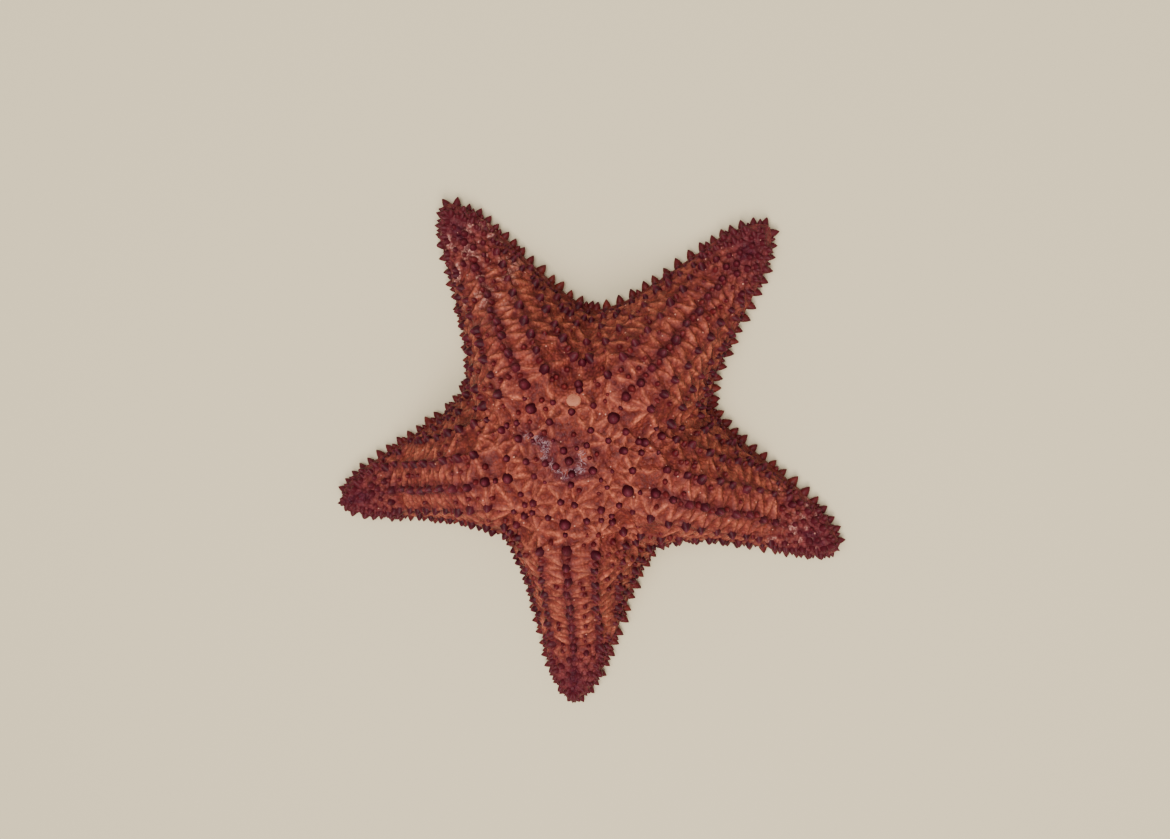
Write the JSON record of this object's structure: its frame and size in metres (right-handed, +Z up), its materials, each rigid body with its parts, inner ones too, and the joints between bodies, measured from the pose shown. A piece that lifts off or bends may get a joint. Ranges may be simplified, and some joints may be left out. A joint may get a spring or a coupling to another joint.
{
  "type": "sea star",
  "caption": "Cushion sea star at rest, mouth down: a high inflated disc with keeled tapering arms, rows of blunt spines and a spiny margin.",
  "frame": {"origin": "middle of the space the animal takes up, at the level of its sole", "axes": "+Z up, away from the sole; arm_4 points along -Y and arm_2 between +X and +Y"},
  "size_m": [0.238, 0.24, 0.0562],
  "materials": {
    "skin": "moist brick-orange skin over a net of plates, with maroon spines, arm tips and margin",
    "sieve_plate": "matt pale tan plate with fine furrows",
    "mouth_parts": "matt cream jaws and membrane"
  },
  "bodies": {
    "root": {"arm_1": "skin", "arm_2": "skin", "arm_3": "skin", "arm_4": "skin", "arm_5": "skin", "disc": "skin", "madreporite": "sieve_plate", "mouth": "mouth_parts"}
  },
  "joints": []
}
